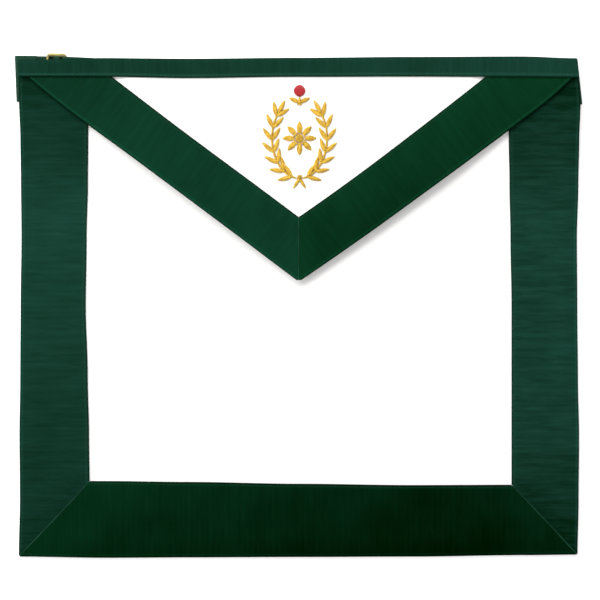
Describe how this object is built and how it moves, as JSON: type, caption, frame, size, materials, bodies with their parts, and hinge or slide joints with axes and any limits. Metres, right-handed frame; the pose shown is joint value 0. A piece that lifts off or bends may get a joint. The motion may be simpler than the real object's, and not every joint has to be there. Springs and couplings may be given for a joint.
{
  "type": "masonic apron",
  "caption": "White leather apron with a ribbed green ribbon border, pointed ribbon-edged flap, gold device and an adjustable belt folded behind it.",
  "frame": {"origin": "middle of the rectangle that the apron covers, on the surface it lies on", "axes": "+X across the apron to the right as its face is seen, +Y along it to the waist edge, +Z out of the face"},
  "size_m": [0.4132, 0.3672, 0.0133],
  "materials": {
    "leather": "smooth white, faint grain",
    "ribbon": "ribbed, low sheen",
    "webbing": "matt weave",
    "brass": "dull, slightly worn",
    "bullion": "gold metal thread",
    "red_silk": "red silk thread"
  },
  "bodies": {
    "root": {"apron_leather": "leather", "flap_leather": "leather", "border_left": "ribbon", "border_right": "ribbon", "border_foot": "ribbon", "flap_ribbon_left": "ribbon", "flap_ribbon_right": "ribbon", "waistband": "ribbon", "belt_strap_left": "webbing", "belt_strap_right": "webbing", "belt_slide": "brass", "belt_clasp": "brass", "spray_left": "bullion", "spray_right": "bullion", "spray_tie": "bullion", "rosette": "bullion", "rosette_button": "bullion", "bud_calyx": "bullion", "bud": "red_silk"}
  },
  "joints": []
}
